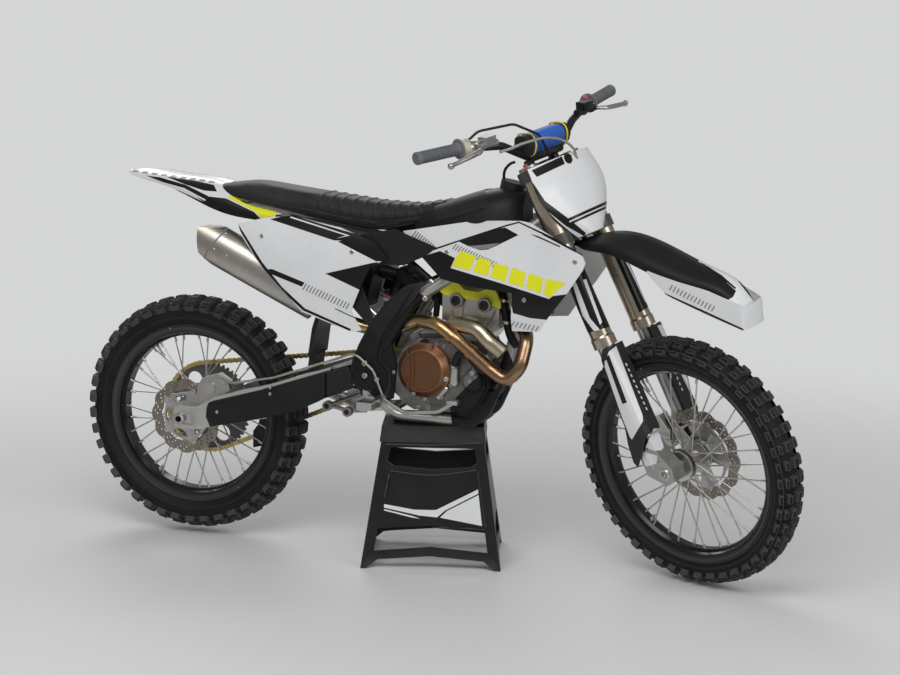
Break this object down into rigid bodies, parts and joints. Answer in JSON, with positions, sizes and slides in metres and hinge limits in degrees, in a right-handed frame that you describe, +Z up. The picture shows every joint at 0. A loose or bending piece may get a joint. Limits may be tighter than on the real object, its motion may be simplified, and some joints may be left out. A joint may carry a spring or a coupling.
{
  "type": "dirt bike on paddock stand",
  "caption": "Off-road motorcycle with steering fork, knobbly wheels and chain drive, held upright on the paddock stand built with it.",
  "frame": {"origin": "on the floor under the middle of the whole object, in the bike's mid-plane", "axes": "+X to the bike's front, +Y to its left, +Z up"},
  "size_m": [2.1457, 0.7516, 1.3293],
  "materials": {
    "frame_silver": "satin",
    "bare_aluminium": "satin",
    "cast_grey": "cast",
    "copper_cover": "satin anodised",
    "yellow_cover": "gloss",
    "pipe_bronze": "heat tinted",
    "titanium": "satin",
    "steel": "satin",
    "black_plastic": "moulded",
    "white_plastic": "gloss",
    "seat_cover": "ribbed",
    "tank_grey": "satin",
    "fork_gold": "anodised",
    "tyre": "block tread",
    "rim_black": "satin",
    "grip_grey": "ribbed",
    "pad_blue": "padded",
    "bar_black": "satin",
    "spring_white": "gloss",
    "chain_gold": "plated",
    "sprocket_black": "satin",
    "radiator_black": "finned",
    "hose_silver": "braided",
    "cream_plastic": "moulded",
    "hose_black": "smooth"
  },
  "bodies": {
    "chassis": {"frame": "frame_silver", "crankcase": "cast_grey", "clutch_cover": "copper_cover", "cylinder": "bare_aluminium", "valve_cover": "yellow_cover", "swingarm": "bare_aluminium", "rear_axle": "steel", "rear_caliper": "bare_aluminium", "header_pipe": "pipe_bronze", "resonance_can": "bare_aluminium", "silencer": "titanium", "subframe": "bare_aluminium", "shock": "bar_black", "shock_spring": "spring_white", "linkage": "bare_aluminium", "airbox": "black_plastic", "arm_guards": "black_plastic", "tank": "tank_grey", "tank_cap": "black_plastic", "seat": "seat_cover", "rear_fender": "white_plastic", "radiators": "radiator_black", "shroud_left": "white_plastic", "shroud_right": "white_plastic", "side_panel_left": "white_plastic", "side_panel_right": "white_plastic", "frame_guard_left": "black_plastic", "frame_guard_right": "black_plastic", "skid_plate": "black_plastic", "brake_pedal": "bare_aluminium", "shift_lever": "bare_aluminium", "footpegs": "steel", "front_sprocket": "steel", "chain": "chain_gold", "chain_guide": "black_plastic", "rear_brake_hose": "hose_silver", "stand": "black_plastic"},
    "front_end": {"fork_clamps": "bar_black", "fork_tubes": "fork_gold", "fork_sliders": "steel", "fork_guards": "black_plastic", "front_fender": "black_plastic", "front_plate": "white_plastic", "handlebar": "bar_black", "grips": "grip_grey", "bar_pad": "pad_blue", "brake_master": "bare_aluminium", "clutch_master": "bare_aluminium", "front_caliper": "bare_aluminium", "throttle_housing": "cream_plastic", "throttle_cables": "hose_black"},
    "front_wheel": {"front_tyre": "tyre", "front_rim": "rim_black", "front_hub": "bare_aluminium", "front_disc": "steel"},
    "rear_wheel": {"rear_tyre": "tyre", "rear_rim": "rim_black", "rear_hub": "bare_aluminium", "rear_disc": "steel", "rear_sprocket": "sprocket_black"}
  },
  "joints": [
    {"name": "steering", "type": "hinge", "parent": "chassis", "child": "front_end", "pos_m": [0.70486, 0, 0.33096], "axis": [-0.4384, 0, 0.8988], "range_deg": [-18, 70]},
    {"name": "front_wheel_spin", "type": "hinge", "parent": "front_end", "child": "front_wheel", "pos_m": [0.74363, -0.02104, 0.34987], "axis": [0.394, 0.8988, 0.1922], "continuous": true},
    {"name": "rear_wheel_spin", "type": "hinge", "parent": "chassis", "child": "rear_wheel", "pos_m": [-0.727, 0, 0.36], "axis": [0, 1, 0], "continuous": true}
  ]
}
